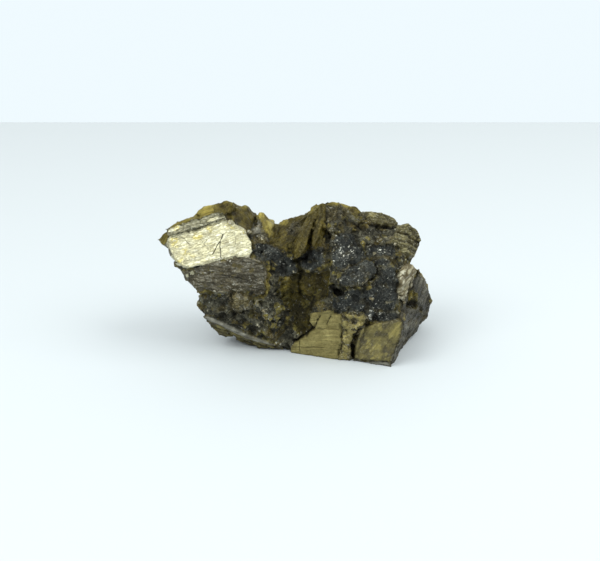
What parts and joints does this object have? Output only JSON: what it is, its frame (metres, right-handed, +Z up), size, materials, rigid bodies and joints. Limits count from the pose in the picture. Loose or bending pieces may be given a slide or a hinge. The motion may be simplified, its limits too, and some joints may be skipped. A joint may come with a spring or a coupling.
{
  "type": "bronzite specimen",
  "caption": "Rough hand specimen of bronzite: bronze-gold cleavage faces in a dark granular matrix, broken all round and resting on a flat base.",
  "frame": {"origin": "middle of the specimen's bounding box, at the plane of its resting face", "axes": "+X along the specimen's length towards its thick end, +Y to its back, +Z up from the resting face"},
  "size_m": [0.066, 0.0322, 0.0354],
  "materials": {
    "bronzite_rock": "rough broken stone with satin bronze cleavage faces"
  },
  "bodies": {
    "root": {"bronzite_specimen": "bronzite_rock"}
  },
  "joints": []
}
